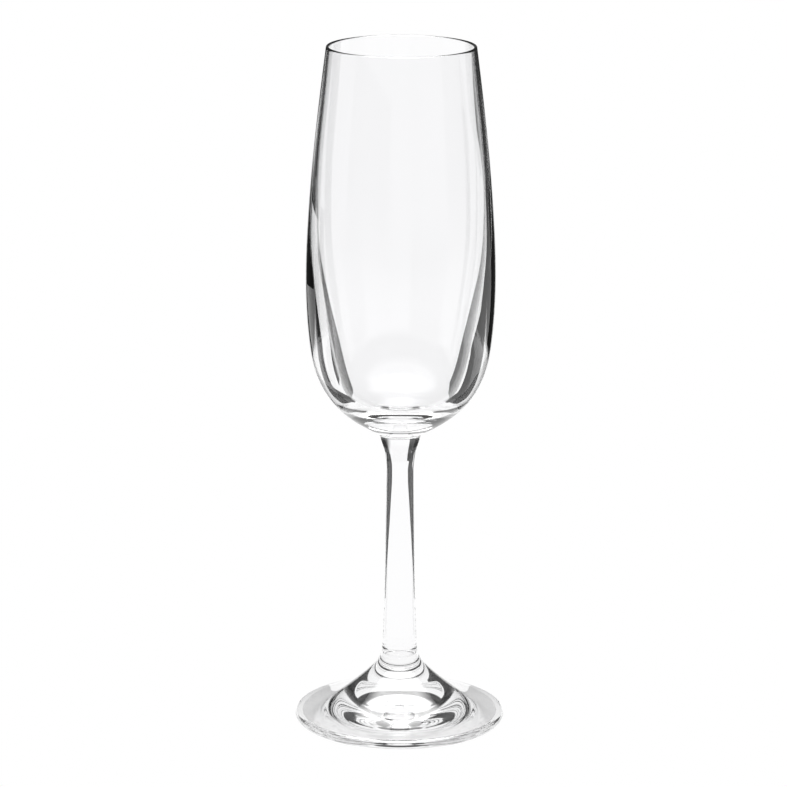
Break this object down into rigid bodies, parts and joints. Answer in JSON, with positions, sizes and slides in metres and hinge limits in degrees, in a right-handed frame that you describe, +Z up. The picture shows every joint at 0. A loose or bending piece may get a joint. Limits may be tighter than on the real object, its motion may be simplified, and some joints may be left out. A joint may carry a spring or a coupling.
{
  "type": "champagne flute",
  "caption": "Tall stemmed drinking glass: a slender tapering bowl with a thick base on a solid stem and a low conical round foot, all in clear glass.",
  "frame": {"origin": "centre of the foot on the surface the glass stands on", "axes": "+Z up along the axis of the stem and bowl; the glass is round about Z, so +X and +Y are alike"},
  "size_m": [0.063, 0.063, 0.205],
  "materials": {
    "clear_glass": "clear, fire-polished soda-lime glass, uncoloured"
  },
  "bodies": {
    "root": {"bowl": "clear_glass", "stem": "clear_glass", "foot": "clear_glass"}
  },
  "joints": []
}
